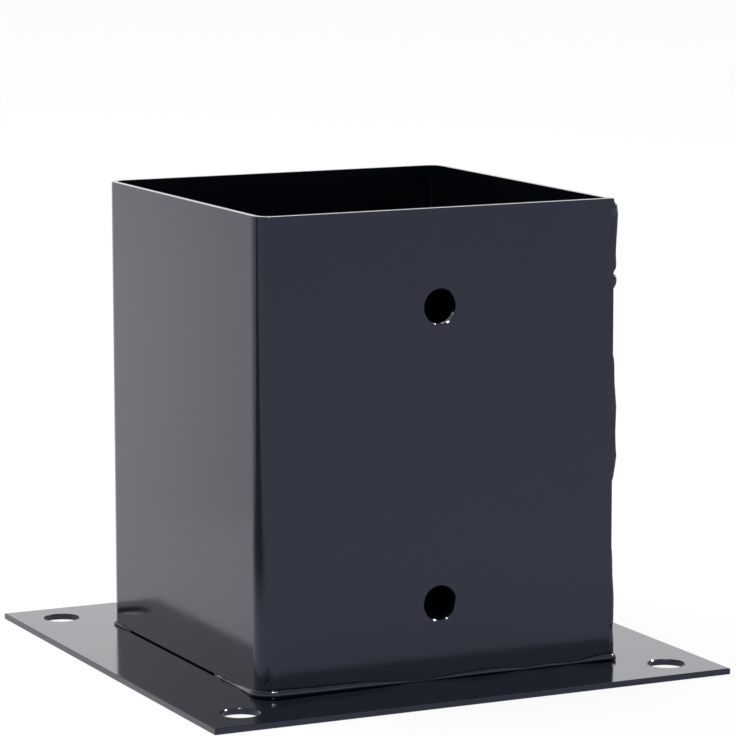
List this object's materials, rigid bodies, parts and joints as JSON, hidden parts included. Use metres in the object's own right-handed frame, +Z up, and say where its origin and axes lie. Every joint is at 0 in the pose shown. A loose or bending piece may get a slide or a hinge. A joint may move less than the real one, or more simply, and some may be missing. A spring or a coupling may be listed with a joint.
{
  "type": "timber post base",
  "caption": "Square steel sleeve welded to a flat plate: bolts down to concrete and holds the foot of an upright timber post, which screws fix through the sleeve's walls.",
  "frame": {"origin": "centre of the base plate's underside, on the ground", "axes": "+Z up, out of the sleeve's mouth; -Y out of the front wall, which has screw holes; +X to the right seen from the front, with the welded seam at the +X, -Y corner"},
  "size_m": [0.18, 0.18, 0.152],
  "materials": {
    "sheet_coating": "smooth gloss anthracite powder coat over sheet steel",
    "weld_coating": "the same gloss anthracite coat over uneven weld beads"
  },
  "bodies": {
    "root": {"base_plate": "sheet_coating", "post_sleeve": "sheet_coating", "front_foot_weld": "weld_coating", "back_foot_weld": "weld_coating", "seam_bead_foot": "weld_coating", "seam_bead_middle": "weld_coating", "seam_bead_drop": "weld_coating", "seam_bead_top": "weld_coating"}
  },
  "joints": []
}
